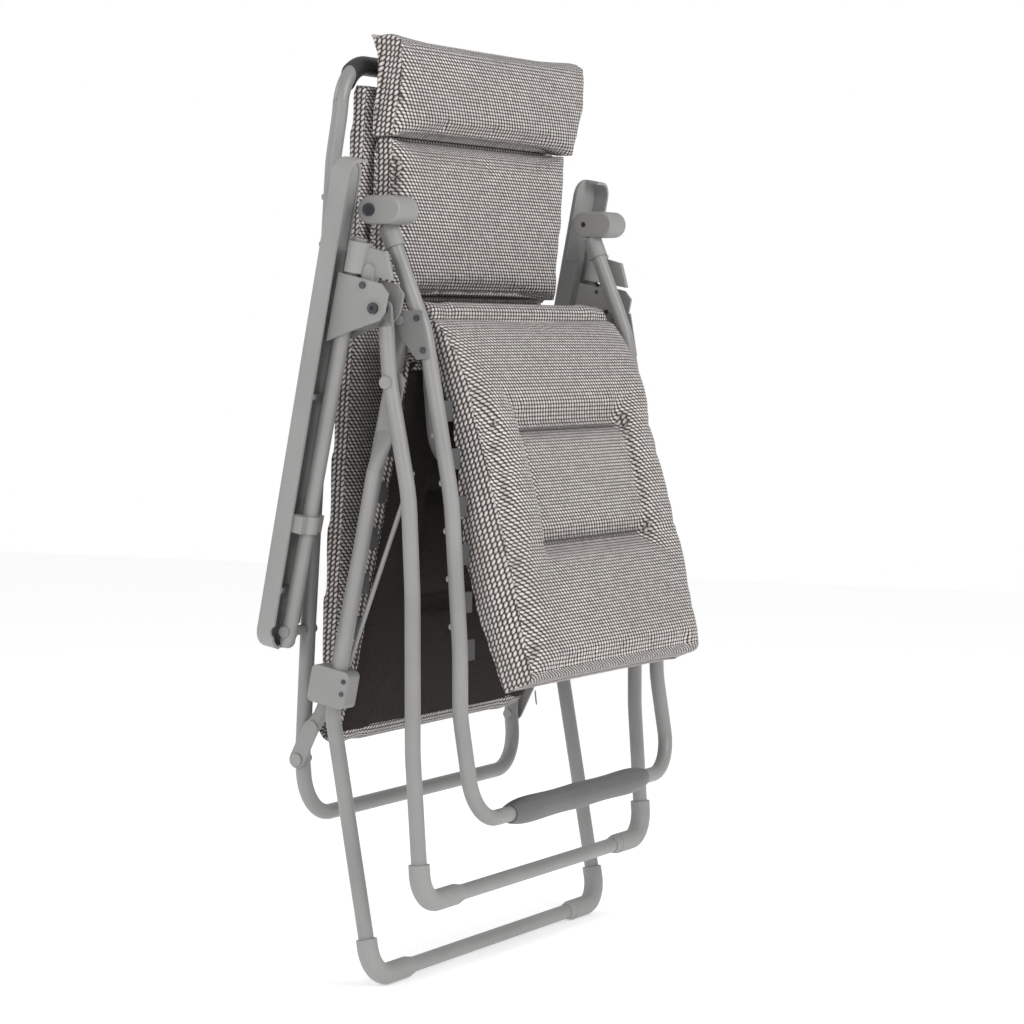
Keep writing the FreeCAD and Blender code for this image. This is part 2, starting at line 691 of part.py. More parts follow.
def legrest_studs():
    spots = spread(side_point(-58, 700), side_point(-85, 420), size("stud_pitch"))
    solids = studs_on(legrest_axis(spots), SEAT_X, Vector(0, 1, 0), legrest_wire())
    feature("legrest_studs", both(Part.makeCompound(solids)))


def legrest_axis(spots):
    """Move side points onto the centre line of the legrest tube at the same height."""
    out = []
    for spot in spots:
        for low, high in zip(LEGREST_SIDE[1:], LEGREST_SIDE[:-1]):
            if low.z <= spot.z <= high.z:
                share = (spot.z - low.z) / (high.z - low.z)
                out.append(low + (high - low) * share)
                break
    return out


def clips_between(points, wire):
    tube = swept(wire, TUBE_R)
    solids = []
    inner = PAD_X + 0.8
    for point in points:
        box = Part.makeBox(SEAT_X - inner, 12, 26, Vector(inner, point.y - 6, point.z - 13))
        solids.append(box.cut(tube))
    return solids


def legrest_clips():
    points = legrest_axis(spread(side_point(-58, 730), side_point(-85, 400), size("stud_pitch")))
    solids = clips_between(points, legrest_wire())
    left_right("legrest_clips", Part.makeCompound(solids))


def pad(name, outline, half):
    feature(name, plate(outline, -half, half))


def legrest_pad():
    thick = size("legrest_pad_t")
    front = [side_point(-34, 843), side_point(-62, 805), side_point(-86, 750), side_point(-110, 670),
             side_point(-131, 590), side_point(-150, 510), side_point(-164, 440), side_point(-173.7, 394)]
    back = [side_point(-160 + thick, 374), side_point(-122 + thick, 470), side_point(-98 + thick, 560),
            side_point(-92 + thick, 655), side_point(-87 + thick, 715), side_point(-60 + thick, 775),
            side_point(-30 + thick, 834)]
    top = [side_point(-8, 850)]
    pad("legrest_pad", front + back + top, PAD_X)


# ---------- seat ----------
SEAT_TOP = KNEE + unit(SLIDER - KNEE) * (4 * TUBE_R)
STRAP_TOP = SLIDER + unit(HIP - SLIDER) * 50
STRAP_T = 4
STRAP_X = SEAT_OUT + 0.5 + STRAP_T / 2


def seat_wire():
    return rounded_wire([at_x(SEAT_TOP, SEAT_X), at_x(SLIDER, SEAT_X), at_x(STRAP_TOP, SEAT_X)], [60])


def seat_tube():
    wire = seat_wire()
    outer = swept(wire, TUBE_R)
    inner = swept(wire, TUBE_R - WALL)
    top = flat_end(SEAT_TOP, KNEE, SEAT_X, SEAT_OUT - 5, TAB_T, TUBE_R * 1.05)
    low = flat_end(STRAP_TOP, HIP, SEAT_X, STRAP_X, STRAP_T, TUBE_R * 1.1)
    shape = fused([outer, top, low]).cut(inner)
    holes = [
        rod_x(SLIDER, HOLE_R, SEAT_X - 2 * TUBE_R, SEAT_X + 2 * TUBE_R),
        rod_x(KNEE, HOLE_R, SEAT_X - 2 * TUBE_R, SEAT_X + 2 * TUBE_R),
        rod_x(HIP, HOLE_R, SEAT_X - 2 * TUBE_R, SEAT_X + 2 * TUBE_R),
    ]
    for hole in holes:
        shape = shape.cut(hole)
    left_right("seat_tube", shape)


def seat_clips():
    points = spread(KNEE + (SLIDER - KNEE) * 0.22, KNEE + (SLIDER - KNEE) * 0.88, size("stud_pitch"))
    left_right("seat_clips", Part.makeCompound(clips_between(points, seat_wire())))


def seat_pad():
    along = unit(SLIDER - KNEE)
    up = Vector(0, -along.z, along.y)
    thick = size("seat_pad_t")
    top = KNEE + along * 52
    low = SLIDER + (HIP - SLIDER) * 0.62
    outline = [
        top + up * (-8),
        SLIDER - up * 14,
        low - up * 24,
        low - up * 8 - side_point(0, 14),
        low - up * 4,
        SLIDER + up * (thick - 23),
        SLIDER - along * 60 + up * (thick - 14),
        top + up * (thick - 14),
    ]
    pad("seat_pad", outline, PAD_X)


# ---------- back ----------
BACK_BEND = side_point(99, 1046)
BACK_SIDE = [
    side_point(142, size("back_bar_z")),
    HIP,
    RAIL_END,
    BACK_BEND,
    side_point(88, 1109),
    side_point(85, size("back_top_z")),
]


def back_half_wire():
    side = [at_x(p, SEAT_X) for p in BACK_SIDE]
    points = [at_x(BACK_SIDE[0], 0)] + side + [at_x(BACK_SIDE[-1], 0)]
    radii = [size("corner_r"), 60, 200, 200, 200, size("corner_r")]
    return rounded_wire(points, radii)


def back_frame():
    outer = swept(back_half_wire(), TUBE_R)
    inner = swept(back_half_wire(), TUBE_R - WALL)
    half = outer.cut(inner)
    shape = half.fuse(mirrored(half)).removeSplitter()
    for spot in (HIP, RAIL_END):
        hole = rod_x(spot, HOLE_R, SEAT_X - 2 * TUBE_R, SEAT_X + 2 * TUBE_R)
        shape = shape.cut(hole).cut(mirrored(hole))
    feature("back_frame", shape)


def top_corner_cap():
    radius = size("corner_r")
    corner = at_x(BACK_SIDE[-1], SEAT_X)
    down = unit(BACK_SIDE[-2] - BACK_SIDE[-1])
    points = [corner + down * (radius * 1.05), corner, corner - Vector(radius + 30, 0, 0)]
    shell = swept(rounded_wire(points, [radius]), TUBE_R + 2.5)
    longer = [corner + down * (radius * 1.05 + 4), corner, corner - Vector(radius + 60, 0, 0)]
    tube = swept(rounded_wire(longer, [radius]), TUBE_R)
    outer_side = Part.makeBox(80, 200, 300, Vector(SEAT_X - 18, corner.y - 100, corner.z - 200))
    left_right("top_corner_cap", shell.cut(tube).cut(outer_side))


def back_studs():
    spots = spread(RAIL_END + (BACK_BEND - RAIL_END) * 0.12, BACK_BEND, size("stud_pitch"))
    solids = studs_on(spots, SEAT_X, Vector(0, 1, 0), back_half_wire())
    feature("back_studs", both(Part.makeCompound(solids)))


def back_line(z, ahead):
    """Side point a given distance ahead of the back frame at height z."""
    for low, high in zip(BACK_SIDE[:-1], BACK_SIDE[1:]):
        if low.z <= z <= high.z:
            share = (z - low.z) / (high.z - low.z)
            return low + (high - low) * share - side_point(ahead, 0)
    return BACK_SIDE[-1] - side_point(ahead, 0)


BACK_FRONT = size("back_pad_t") - 2


def back_pad():
    top_z = size("back_top_z") - TUBE_R - 17
    heights = [372, size("rail_end_z"), BACK_BEND.z, top_z]
    front = [back_line(z, BACK_FRONT) for z in heights]
    front[0] = back_line(heights[0], BACK_FRONT - 6)
    front[-1] = back_line(top_z, BACK_FRONT - 3)
    rear = [back_line(z, -2) for z in reversed(heights)]
    pad("back_pad", front + rear, PAD_X)


HEAD_TOP = size("back_top_z") + 38
HEAD_LOW = HEAD_TOP - size("head_h")
LUMBAR_TOP = HEAD_LOW - 2
LUMBAR_LOW = LUMBAR_TOP - size("lumbar_h")


def head_cushion():
    rear = BACK_FRONT + 1
    thick = size("head_t")
    outline = [
        back_line(HEAD_LOW, rear),
        back_line(HEAD_LOW, rear + thick - 6),
        back_line((HEAD_LOW + HEAD_TOP) / 2, rear + thick),
        at_x(BACK_SIDE[-1], 0) + side_point(-rear - thick + 4, 26),
        at_x(BACK_SIDE[-1], 0) + side_point(-rear - thick + 24, 38),
        at_x(BACK_SIDE[-1], 0) + side_point(-TUBE_R - 6, 36),
        at_x(BACK_SIDE[-1], 0) + side_point(-rear, 0),
    ]
    pad("head_cushion", outline, PAD_X)


def lumbar_cushion():
    rear = BACK_FRONT + 1
    thick = size("head_t") - 6
    middle = (LUMBAR_LOW + LUMBAR_TOP) / 2
    outline = [
        back_line(LUMBAR_LOW, rear),
        back_line(LUMBAR_LOW, rear + thick - 8),
        back_line(middle, rear + thick),
        back_line(LUMBAR_TOP, rear + thick - 6),
        back_line(LUMBAR_TOP, rear),
    ]
    pad("lumbar_cushion", outline, PAD_X - 12)


# ---------- build ----------
pin_group("leg_rivets", "apex", [
    ("Sizes.pivot_d", F_LEG_IN + " - 5", F_LEG_OUT + " + 0.3"),
    ("Sizes.pivot_d + 6", F_LEG_IN + " - 7.5", F_LEG_IN + " - 5"),
    ("Sizes.pivot_d + 8", F_LEG_OUT + " + 0.3", F_LEG_OUT + " + 3"),
])
pin_group("seat_pivot_pins", "slider", [
    ("Sizes.pivot_d", F_SEAT_IN + " - 0.3", F_LEG_OUT + " + 1"),
    ("Sizes.pivot_d + 5", F_SEAT_IN + " - 2.5", F_SEAT_IN + " - 0.3"),
])
pin_group("knee_pins", "knee", [
    ("Sizes.pivot_d", F_SEAT_OUT + " - 7.3", F_SEAT_OUT + " + 3.8"),
    ("Sizes.pivot_d + 5", F_SEAT_OUT + " - 9.3", F_SEAT_OUT + " - 7.3"),
    ("Sizes.pivot_d + 5", F_SEAT_OUT + " + 3.8", F_SEAT_OUT + " + 6"),
])
pin_group("hip_pins", "hip", [
    ("Sizes.pivot_d", F_SEAT_IN + " - 0.3", F_SEAT_OUT + " + 4.8"),
    ("Sizes.pivot_d + 5", F_SEAT_IN + " - 2.5", F_SEAT_IN + " - 0.3"),
    ("Sizes.pivot_d + 8", F_SEAT_OUT + " + 4.8", F_SEAT_OUT + " + 7.5"),
])
pin_group("rail_pins", "rail_end", [
    ("Sizes.pivot_d", F_SEAT_IN + " - 0.3", F_RAIL_OUT + " + 0.3"),
    ("Sizes.pivot_d + 5", F_SEAT_IN + " - 2.5", F_SEAT_IN + " - 0.3"),
    ("Sizes.pivot_d + 5", F_SEAT_OUT + " + 0.3", F_RAIL_IN + " - 0.3"),
    ("Sizes.pivot_d + 6", F_RAIL_OUT + " + 0.3", F_RAIL_OUT + " + 3"),
])

for build in (
    rear_leg_frame, front_leg_frame, feet, slider, slider_screws, brace_rod, bracket, bracket_bolts,
    lever_pins, lock_lever, rail, armrest, armrest_clip, legrest_frame, elbow, elbow_bolts,
    knee_plate, knee_screws, hanger_bar, foot_sleeve, legrest_studs, legrest_clips, legrest_pad,
    seat_tube, seat_clips, seat_pad, back_frame, top_corner_cap, back_studs, back_pad,
    head_cushion, lumbar_cushion,
):
    build()

doc.recompute()

# ---------- check and write ----------
inside = set()
for item in doc.Objects:
    for member in getattr(item, "Links", []) + getattr(item, "Shapes", []):
        inside.add(member.Name)

os.makedirs("parts", exist_ok=True)
for item in doc.Objects:
    if item is sheet:
        continue
    if "Invalid" in item.State or "Error" in item.State:
        raise RuntimeError("%s did not build" % item.Label)
    if item.Shape.isNull() or not item.Shape.isValid():
        raise RuntimeError("%s is not a valid shape" % item.Label)
    if item.Name in inside:
        continue
    item.Shape.exportStep("parts/%s.step" % item.Label)
    print(item.Label, len(item.Shape.Solids), round(item.Shape.Volume))
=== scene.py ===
"""Looks of a folded zero gravity recliner: stuffed woven pads, painted tubes and moulded fittings.

Every length is in metres. +Z is up, -Y is the side the sitter faces, X runs across the chair.
"""

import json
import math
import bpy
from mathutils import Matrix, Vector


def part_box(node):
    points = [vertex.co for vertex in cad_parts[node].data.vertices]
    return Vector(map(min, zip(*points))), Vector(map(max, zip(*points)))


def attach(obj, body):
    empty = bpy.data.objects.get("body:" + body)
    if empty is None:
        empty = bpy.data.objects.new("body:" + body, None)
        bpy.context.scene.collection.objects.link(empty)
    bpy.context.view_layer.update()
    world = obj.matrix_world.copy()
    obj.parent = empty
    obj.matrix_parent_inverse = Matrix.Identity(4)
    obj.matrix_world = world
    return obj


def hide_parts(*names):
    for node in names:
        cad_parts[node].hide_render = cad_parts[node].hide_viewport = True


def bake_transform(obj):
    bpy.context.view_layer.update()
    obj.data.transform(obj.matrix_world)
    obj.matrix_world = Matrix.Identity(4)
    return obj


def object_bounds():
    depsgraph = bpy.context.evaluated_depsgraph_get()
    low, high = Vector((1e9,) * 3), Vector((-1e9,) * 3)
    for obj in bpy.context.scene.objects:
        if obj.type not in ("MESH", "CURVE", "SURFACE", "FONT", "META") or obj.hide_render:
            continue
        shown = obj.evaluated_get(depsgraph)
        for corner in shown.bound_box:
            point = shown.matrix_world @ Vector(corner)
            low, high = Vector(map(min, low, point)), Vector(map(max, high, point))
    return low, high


bl_info = {
    "name": "Zero gravity recliner",
    "version": (1, 0, 0),
    "blender": (4, 5, 0),
    "location": "View3D > Sidebar > Recliner",
    "description": "Stuffed covers, finishes and stage of a folding recliner",
    "category": "Object",
}

import bpy
import bmesh
import numpy as np
from bpy.props import FloatProperty, FloatVectorProperty, IntProperty, PointerProperty
from mathutils import Vector

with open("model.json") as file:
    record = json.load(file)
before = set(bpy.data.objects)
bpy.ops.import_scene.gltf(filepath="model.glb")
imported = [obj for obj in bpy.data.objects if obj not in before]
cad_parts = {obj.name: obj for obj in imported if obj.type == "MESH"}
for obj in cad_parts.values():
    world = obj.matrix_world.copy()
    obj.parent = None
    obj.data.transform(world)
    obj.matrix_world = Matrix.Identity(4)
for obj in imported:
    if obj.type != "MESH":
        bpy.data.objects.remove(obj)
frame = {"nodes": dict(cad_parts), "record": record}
CAD_BOX = [list(corner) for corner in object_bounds()]
LOOK = "recliner_"


# ---------- settings ----------
class CoverSettings(bpy.types.PropertyGroup):
    """Yarn sizes and colours of the covers."""

    grain_wide: FloatProperty(name="Grain width", description="Distance between grains across the cover",
                              default=0.0074, unit="LENGTH")
    grain_high: FloatProperty(name="Grain height", description="Distance between rows of grains",
                              default=0.0044, unit="LENGTH")
    knot: FloatProperty(name="Gusset knot", description="Distance between the knots of the side bands",
                        default=0.0078, unit="LENGTH")
    mesh: FloatProperty(name="Mesh hole", description="Distance between holes of the dark underside",
                        default=0.0030, unit="LENGTH")
    # The light, middle and dark colours paint the shading of each grain: light on its lit top, middle on its shaded
    # flanks, dark as the deep shade at its foot between grains; dark also tints the painted shade along the seams,
    # and middle also tints the random cloudiness.
    light: FloatVectorProperty(name="Light yarn", description="Colour of the raised yarn", subtype="COLOR",
                               size=3, default=(0.68, 0.645, 0.62), min=0, max=1)
    middle: FloatVectorProperty(name="Middle yarn", description="Colour of the yarn's flanks", subtype="COLOR",
                                size=3, default=(0.25, 0.228, 0.217), min=0, max=1)
    dark: FloatVectorProperty(name="Ground", description="Colour between the grains", subtype="COLOR",
                              size=3, default=(0.034, 0.028, 0.025), min=0, max=1)
    under: FloatVectorProperty(name="Underside", description="Colour of the mesh under the pads", subtype="COLOR",
                               size=3, default=(0.026, 0.020, 0.017), min=0, max=1)


class PadSettings(bpy.types.PropertyGroup):
    """How the pads are stuffed."""

    voxel: FloatProperty(name="Cloth grid", description="Edge of the cloth's squares", default=0.006, unit="LENGTH")
    pressure: FloatProperty(name="Stuffing", description="Pressure of the filling", default=4.0)
    frames: IntProperty(name="Steps", description="Steps the filling swells for", default=20)
    tuft: FloatProperty(name="Tuft depth", description="How deep a sewn channel is pulled in",
                        default=0.012, unit="LENGTH")
    tuft_wide: FloatProperty(name="Tuft width", description="Half width of a sewn channel's hollow",
                             default=0.026, unit="LENGTH")


class FrameSettings(bpy.types.PropertyGroup):
    """Colours of the frame and its fittings."""

    paint: FloatVectorProperty(name="Frame paint", description="Colour of the painted tubes", subtype="COLOR",
                               size=3, default=(0.240, 0.239, 0.235), min=0, max=1)
    plastic: FloatVectorProperty(name="Fittings", description="Colour of the moulded fittings", subtype="COLOR",
                                 size=3, default=(0.262, 0.260, 0.255), min=0, max=1)
    armrest: FloatVectorProperty(name="Armrests", description="Colour of the armrests", subtype="COLOR",
                                 size=3, default=(0.262, 0.261, 0.258), min=0, max=1)
    sleeve: FloatVectorProperty(name="Foot sleeve", description="Colour of the sleeve on the foot bar",
                                subtype="COLOR", size=3, default=(0.108, 0.108, 0.107), min=0, max=1)


class StageSettings(bpy.types.PropertyGroup):
    """Camera and floor."""

    turn: FloatProperty(name="Camera turn", description="Compass direction of the view", subtype="ANGLE",
                        default=math.radians(61.4))
    dip: FloatProperty(name="Camera dip", description="Angle the view looks down", subtype="ANGLE",
                       default=math.radians(3.16))
    lens: FloatProperty(name="Lens", description="Focal length in millimetres", default=110.1)
    eye: FloatVectorProperty(name="Camera place", description="Where the camera stands", subtype="XYZ", size=3,
                             default=(-3.668, -2.006, 0.820), unit="LENGTH")
    floor: FloatVectorProperty(name="Floor", description="Colour of the floor", subtype="COLOR", size=3,
                               default=(0.93, 0.93, 0.93), min=0, max=1)


def settings():
    return bpy.context.scene.recliner_cover, bpy.context.scene.recliner_pads


# ---------- shader arithmetic ----------
class Wire:
    """One socket of a material. Arithmetic written on it adds Math nodes."""

    def __init__(self, shade, socket):
        self.shade = shade
        self.socket = socket

    def do(self, operation, *others):
        return self.shade.node("ShaderNodeMath", {"operation": operation}, dict(enumerate((self,) + others)))

    def __add__(self, other):
        return self.do("ADD", other)

    __radd__ = __add__

    def __sub__(self, other):
        return self.do("SUBTRACT", other)

    def __rsub__(self, other):
        return self.shade.node("ShaderNodeMath", {"operation": "SUBTRACT"}, {0: other, 1: self})

    def __mul__(self, other):
        return self.do("MULTIPLY", other)

    __rmul__ = __mul__

    def __truediv__(self, other):
        return self.do("DIVIDE", other)

    def step(self, low, high):
        """0 below low, 1 above high, smooth between them."""
        return self.shade.node("ShaderNodeMapRange", {"interpolation_type": "SMOOTHSTEP"},
                               {"Value": self, "From Min": low, "From Max": high})



class Shade:
    """A material being put together: node() adds any node, sets it up and returns one of its outputs."""

    def __init__(self, name):
        self.material = bpy.data.materials.new(LOOK + name)
        self.material.use_nodes = True
        self.tree = self.material.node_tree
        self.surface = self.tree.nodes["Principled BSDF"]

    def node(self, kind, settings=None, sockets=None, out=0):
        made = self.tree.nodes.new(kind)
        for key, value in (settings or {}).items():
            if key == "stops":
                self.stops(made.color_ramp, value)
            else:
                setattr(made, key, value)
        for key, value in (sockets or {}).items():
            self.feed(made.inputs[key], value)
        return Wire(self, made.outputs[out])

    def stops(self, ramp, values):
        while len(ramp.elements) < len(values):
            ramp.elements.new(0.5)
        for element, (place, colour) in zip(ramp.elements, values):
            element.position = place
            element.color = colour

    def feed(self, socket, value):
        if isinstance(value, Wire):
            self.tree.links.new(value.socket, socket)
        elif hasattr(value, "__len__") and len(value) == 3 and socket.type == "RGBA":
            socket.default_value = (*value, 1.0)
        else:
            socket.default_value = value

    def set(self, **values):
        """Feeds the shader: names are its sockets with underscores for blanks."""
        for key, value in values.items():
            self.feed(self.surface.inputs[key.replace("_", " ")], value)
        return self

    def blend(self, share, first, second):
        """Mix of two colours by a share from 0 to 1."""
        return self.node("ShaderNodeMix", {"data_type": "RGBA", "clamp_factor": True},
                         {0: share, 6: first, 7: second}, out=2)

    def place(self):
        return self.node("ShaderNodeTexCoord", out=3)

    def attribute(self, name, out=1):
        return self.node("ShaderNodeAttribute", {"attribute_name": name}, out=out)

    def split(self, vector):
        made = self.tree.nodes.new("ShaderNodeSeparateXYZ")
        self.feed(made.inputs[0], vector)
        return [Wire(self, socket) for socket in made.outputs]

    def join(self, x, y, z=0.0):
        return self.node("ShaderNodeCombineXYZ", {}, {0: x, 1: y, 2: z})

    def noise(self, vector, scale, detail=2.0, roughness=0.5):
        return self.node("ShaderNodeTexNoise", {},
                         {"Vector": vector, "Scale": scale, "Detail": detail, "Roughness": roughness})

    def bump(self, height, distance, strength=1.0, normal=None):
        sockets = {"Height": height, "Distance": distance, "Strength": strength}
        if normal is not None:
            sockets["Normal"] = normal
        return self.node("ShaderNodeBump", {}, sockets)


def tinted(colour, share):
    return tuple(min(1.0, part * share) for part in colour)


# ---------- covers ----------
def staggered_domes(shade, u, v, wide, high, slant):
    """Height of a field of small domes, every other row half a step over and each dome leaning by slant.

    Within a cell, height = sqrt(1 - (a / 0.47)^2 - (b / 0.5)^2), a across and b up, both from -0.5 to 0.5.
    Returns the height and a number from 0 to 1 that is the same all over one dome."""
    row = v / high
    line = row.do("FLOOR")
    odd = line.do("MODULO", 2.0).do("ABSOLUTE")
    along = u / wide + 0.5 * odd
    b = row - line - 0.5
    a = along - along.do("FLOOR") - 0.5
    lean = a + slant * b
    inside = 1.0 - (lean * lean) * (1 / 0.47 ** 2) - (b * b) * (1 / 0.52 ** 2)
    height = inside.do("MAXIMUM", 0.0).do("POWER", 0.6)
    pick = shade.node("ShaderNodeTexWhiteNoise", {"noise_dimensions": "2D"},
                      {"Vector": shade.join(along.do("FLOOR"), line)}, out=0)
    return height, pick


def woven_cover(name, knots):
    """Thick basket weave: leaning grains on the faces and rows of larger knots on the side bands, each grain coloured
    from its height as painted shade, dark at its foot between grains, middle on its flanks and light on its top; both
    get painted shade and are pulled in along the seams."""
    cover, _ = settings()
    shade = Shade(name)
    u, v, band = shade.split(shade.attribute("weave"))
    seam = shade.attribute("seam", out=2)
    drift = shade.noise(shade.join(u, v, band), 9.0, 3.0)
    wave = (drift - 0.5) * 0.0035
    u = u + wave
    face, tone = staggered_domes(shade, u, v, cover.grain_wide, cover.grain_high, 0.42)
    p = (u + v) * (1 / math.sqrt(2))
    q = (u - v) * (1 / math.sqrt(2))
    side, _ = staggered_domes(shade, p, q, knots * 1.25, knots * 0.62, 0.2)
    side = side.do("POWER", 1.15)
    height = face + (side - face) * band
    fuzz = shade.noise(shade.place(), 900.0, 2.0)
    # Painted shade on every grain: its colour follows its height, dark at the foot between grains, middle on the
    # flanks and light on the top.
    yarn = height * (0.86 + 0.28 * tone) * (0.82 + 0.36 * fuzz)
    colour = shade.blend(yarn.step(0.04, 0.52), cover.dark, cover.middle)
    colour = shade.blend(yarn.step(0.42, 1.0), colour, cover.light)
    cloud = shade.noise(shade.place(), 7.0, 3.0)
    colour = shade.blend((cloud.step(0.35, 0.75)) * 0.16, colour, tinted(cover.middle, 0.7))
    # Painted shade along the seams and in the hollows of the sewn channels.
    colour = shade.blend(seam * 0.75, colour, tinted(cover.dark, 0.8))
    depth = height * (1.0 - 0.6 * seam) - seam * 1.2 + fuzz * 0.12
    shade.set(Base_Color=colour, Roughness=0.80 + 0.15 * (1.0 - height),
              Normal=shade.bump(depth, 0.0016, 0.85), Sheen_Weight=0.12, Sheen_Roughness=0.45,
              Specular_IOR_Level=0.25)
    return shade.material


def mesh_cover(name):
    """Dark knitted mesh of the undersides: small staggered holes with brown cords between them."""
    cover, _ = settings()
    shade = Shade(name)
    u, v, band = shade.split(shade.attribute("weave"))
    seam = shade.attribute("seam", out=2)
    holes, tone = staggered_domes(shade, u, v, cover.mesh, cover.mesh * 0.8, 0.0)
    cord = 1.0 - holes
    cloud = shade.noise(shade.place(), 14.0, 3.0)
    colour = shade.blend(cord.step(0.1, 0.8) * (0.75 + 0.5 * tone) * 0.8, tinted(cover.under, 0.28),
                         tinted(cover.under, 1.9))
    colour = shade.blend(cloud.step(0.3, 0.8) * 0.3, colour, tinted(cover.under, 1.6))
    # Painted shade, near black, along the seams.
    colour = shade.blend(seam * 0.8, colour, (0.006, 0.006, 0.006))
    shade.set(Base_Color=colour, Roughness=0.78 + 0.15 * holes, Normal=shade.bump(cord + seam, 0.0006, 0.8),
              Specular_IOR_Level=0.2)
    return shade.material


# ---------- finishes of the frame ----------
def painted(name, colour, rough=0.36, metallic=0.0):
    """Satin powder coat: a fine orange peel, faint cloudiness and dull rubbed streaks along the tube."""
    shade = Shade(name)
    spot = shade.place()
    cloud = shade.noise(spot, 11.0, 4.0)
    rub = shade.noise(shade.node("ShaderNodeMapping", {}, {"Vector": spot, "Scale": (60.0, 60.0, 7.0)}), 1.0, 3.0)
    rub = rub.step(0.56, 0.80)
    peel = shade.noise(spot, 700.0, 2.0)
    tint = shade.blend(cloud.step(0.3, 0.7), tinted(colour, 0.93), tinted(colour, 1.06))
    tint = shade.blend(rub * 0.22, tint, tinted(colour, 1.22))
    shade.set(Base_Color=tint, Roughness=rough + 0.10 * cloud + 0.12 * rub, Metallic=metallic,
              Normal=shade.bump(peel, 0.00012, 0.5), Coat_Weight=0.12, Coat_Roughness=0.3)
    return shade.material


def moulded(name, colour, rough=0.46, grain=1300.0, depth=0.00016):
    """Moulded plastic: a fine spark-eroded grain, slight flow marks and a few pale scuffs."""
    shade = Shade(name)
    spot = shade.place()
    flow = shade.noise(spot, 8.0, 3.0, 0.6)
    scuff = shade.noise(shade.node("ShaderNodeMapping", {}, {"Vector": spot, "Scale": (30.0, 90.0, 18.0)}), 1.0, 5.0)
    scuff = scuff.step(0.62, 0.78)
    fine = shade.noise(spot, grain, 2.0)
    tint = shade.blend(flow.step(0.3, 0.7), tinted(colour, 0.94), tinted(colour, 1.05))
    tint = shade.blend(scuff * 0.18, tint, tinted(colour, 1.35))
    shade.set(Base_Color=tint, Roughness=rough + 0.10 * fine + 0.08 * scuff,
              Normal=shade.bump(fine, depth, 0.55))
    return shade.material


def plated(name, colour, rough=0.32):
    """Dark plated steel with turning marks and dull patches."""
    shade = Shade(name)
    spot = shade.place()
    mark = shade.noise(shade.node("ShaderNodeMapping", {}, {"Vector": spot, "Scale": (40.0, 900.0, 900.0)}), 1.0, 2.0)
    patch = shade.noise(spot, 60.0, 3.0)
    tint = shade.blend(patch.step(0.35, 0.7), tinted(colour, 0.8), tinted(colour, 1.25))
    shade.set(Base_Color=tint, Metallic=0.9, Roughness=rough + 0.2 * patch, Normal=shade.bump(mark, 0.00005, 0.5))
    return shade.material


def finishes():
    look = bpy.context.scene.recliner_frame
    return {
        "frame_paint": painted("frame_paint", look.paint),
        "painted_rivet": painted("painted_rivet", tinted(look.paint, 1.08), 0.30),
        "grey_plastic": moulded("grey_plastic", look.plastic),
        "armrest_plastic": moulded("armrest_plastic", look.armrest, 0.42, 1100.0),
        "dark_bolt": plated("dark_bolt", (0.10, 0.10, 0.11)),
        "rod_steel": painted("rod_steel", tinted(look.paint, 1.1), 0.30, 0.2),
        "plate_steel": painted("plate_steel", tinted(look.paint, 0.72), 0.40),
        "dark_paint": painted("dark_paint", (0.10, 0.10, 0.10), 0.40),
        "sleeve_plastic": moulded("sleeve_plastic", look.sleeve, 0.38, 900.0, 0.00008),
        "stud_plastic": moulded("stud_plastic", tinted(look.plastic, 0.95), 0.42),
        "clip_plastic": moulded("clip_plastic", (0.085, 0.085, 0.087), 0.42),
        "black_plastic": moulded("black_plastic", (0.022, 0.022, 0.022), 0.42),
    }


# ---------- meshes ----------
def numbers(data, key, width):
    """One property of a mesh's elements as an array."""
    flat = np.empty(len(data) * width)
    data.foreach_get(key, flat)
    return flat.reshape(-1, width) if width > 1 else flat


def spots(mesh):
    return numbers(mesh.vertices, "co", 3)


def put_spots(mesh, where):
    mesh.vertices.foreach_set("co", np.ascontiguousarray(where, dtype=np.float32).ravel())
    mesh.update()


def shown(name, mesh):
    piece = bpy.data.objects.new(name, mesh)
    bpy.context.scene.collection.objects.link(piece)
    return piece


def baked(piece):
    """The piece's mesh with its modifiers worked in, and no modifiers left."""
    graph = bpy.context.evaluated_depsgraph_get()
    graph.update()
    mesh = bpy.data.meshes.new_from_object(piece.evaluated_get(graph))
    piece.modifiers.clear()
    piece.data = mesh
    return mesh


def grid(rows, columns, ring=False):
    """Faces of a grid of points, rows by columns; a ring's last column meets its first."""
    r = np.arange(rows - 1)[:, None]
    c = np.arange(columns if ring else columns - 1)[None, :]
    after = (c + 1) % columns
    corners = [r * columns + c, r * columns + after, (r + 1) * columns + after, (r + 1) * columns + c]
    return np.stack([np.broadcast_to(k, (rows - 1, c.size)) for k in corners], -1).reshape(-1, 4)


def surface(name, points, faces, smooth=True):
    mesh = bpy.data.meshes.new(name)
    mesh.from_pydata(points.reshape(-1, 3).tolist(), [], faces.tolist())
    mesh.update()
    mesh.polygons.foreach_set("use_smooth", np.full(len(mesh.polygons), smooth))
    return shown(name, mesh)


def carried(path, section, across=(1.0, 0.0, 0.0)):
    """A closed section carried along a path: each ring is path + section.x * side + section.y * rise,
    where side = rise x heading and rise is at right angles to the heading, both worked out at each point."""
    heading = np.gradient(path, axis=0)
    heading /= np.linalg.norm(heading, axis=1, keepdims=True)
    rise = np.cross(heading, np.asarray(across))
    rise /= np.linalg.norm(rise, axis=1, keepdims=True)
    side = np.cross(rise, heading)
    return path[:, None] + section[None, :, :1] * side[:, None] + section[None, :, 1:] * rise[:, None]


